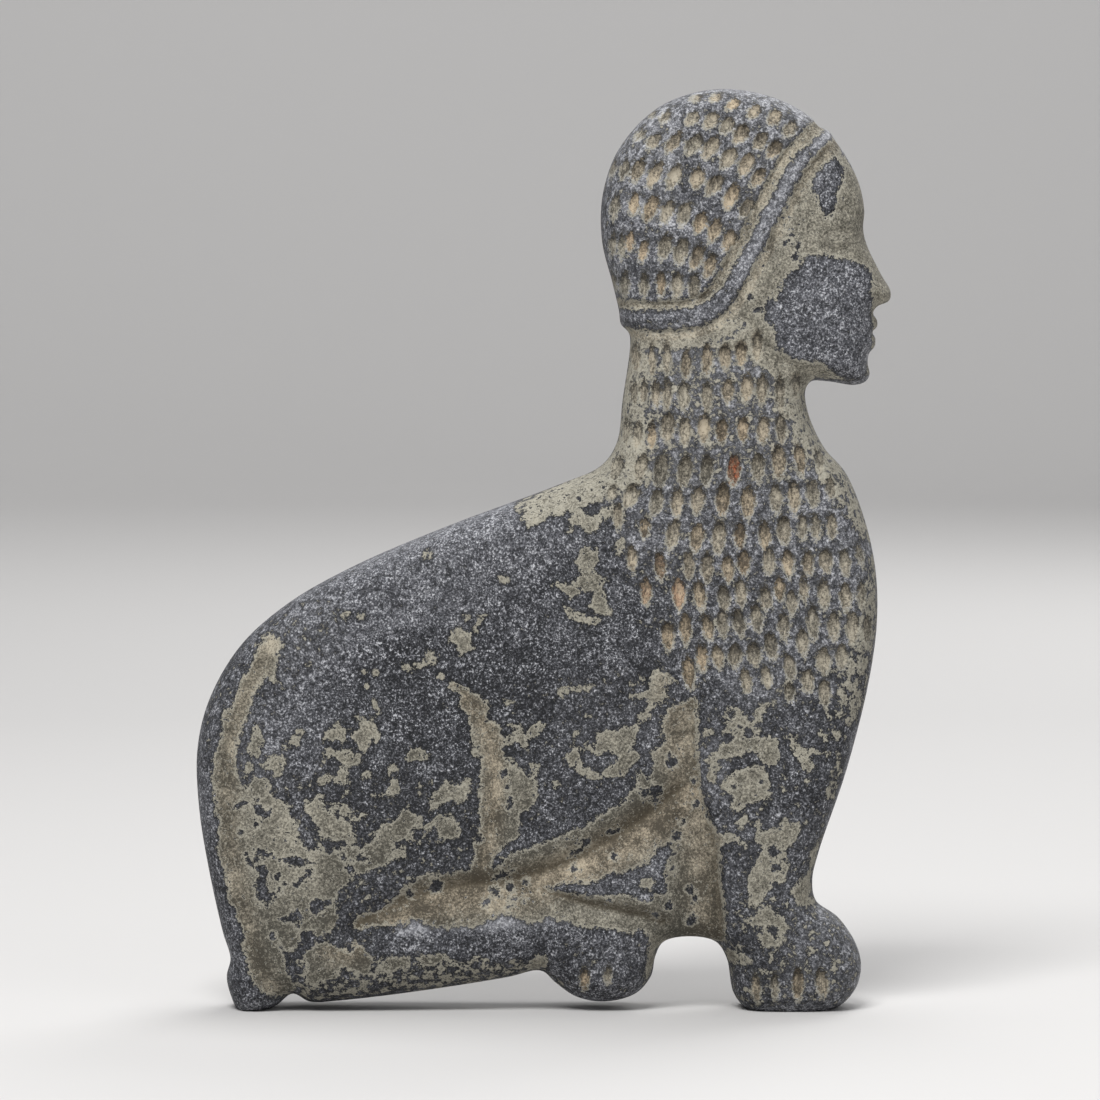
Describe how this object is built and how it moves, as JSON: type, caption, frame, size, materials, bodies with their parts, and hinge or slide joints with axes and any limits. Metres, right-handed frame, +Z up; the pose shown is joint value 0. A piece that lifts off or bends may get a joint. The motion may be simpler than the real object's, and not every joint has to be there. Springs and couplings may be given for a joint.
{
  "type": "stone relief plaque",
  "caption": "Upright round-edged stone plaque carved in relief as a seated sphinx in profile, with a banded cap and rows of small gouges on head, neck and chest",
  "frame": {"origin": "on the surface the plaque stands on, at the middle of its bounding box", "axes": "+Z up, +X the way the figure looks, -Y out of the carved face"},
  "size_m": [0.181, 0.032, 0.24],
  "materials": {
    "chlorite": "fine-grained dark grey chlorite with light flecks, worn satin on the edges, with olive-tan earthy crust in patches and in the carving"
  },
  "bodies": {
    "root": {"sphinx_plaque": "chlorite"}
  },
  "joints": []
}
